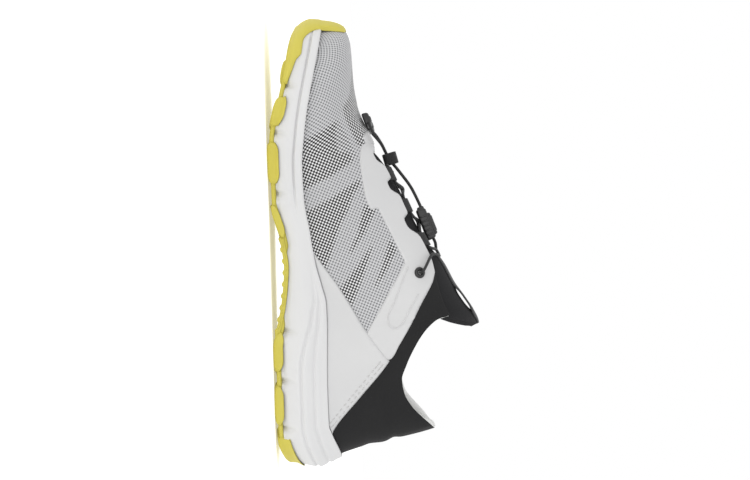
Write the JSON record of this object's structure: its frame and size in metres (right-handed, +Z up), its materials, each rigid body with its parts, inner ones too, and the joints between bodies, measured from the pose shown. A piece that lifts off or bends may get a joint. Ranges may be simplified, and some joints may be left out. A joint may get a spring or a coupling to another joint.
{
  "type": "amphibious trail shoe",
  "caption": "Low-cut closed-toe amphibious trail shoe for the right foot: hollow mesh upper with soft heel collar, foam midsole, lugged outsole with toe bumper, quick lace with lock.",
  "frame": {"origin": "on the floor, under the middle of the shoe's length and width", "axes": "+X to the toe, +Y to the inner (medial) side of this right shoe, +Z up from the floor"},
  "size_m": [0.296, 0.1084, 0.1348],
  "materials": {
    "tread_rubber": "matt moulded rubber, bright yellow",
    "foam": "moulded foam, off-white",
    "insole_cloth": "ribbed cloth on foam, grey",
    "upper_cloth": "light grey open mesh with film panels, black soft heel and collar",
    "tongue_cloth": "black padded cloth",
    "lace_cord": "black round braided cord",
    "webbing": "black woven webbing",
    "black_plastic": "black moulded plastic"
  },
  "bodies": {
    "root": {"outsole": "tread_rubber", "midsole": "foam", "insole": "insole_cloth", "upper": "upper_cloth", "tongue": "tongue_cloth", "lace_crossings": "lace_cord", "lace_run_medial": "lace_cord", "lace_run_lateral": "lace_cord", "lace_keeper": "webbing", "cord_lock": "black_plastic", "pull_tab": "black_plastic", "eyelet_medial": "black_plastic", "eyelet_lateral": "black_plastic", "lace_loop_front_medial": "webbing", "lace_loop_front_lateral": "webbing", "lace_loop_middle_medial": "webbing", "lace_loop_middle_lateral": "webbing", "lace_loop_rear_medial": "webbing", "lace_loop_rear_lateral": "webbing"}
  },
  "joints": []
}
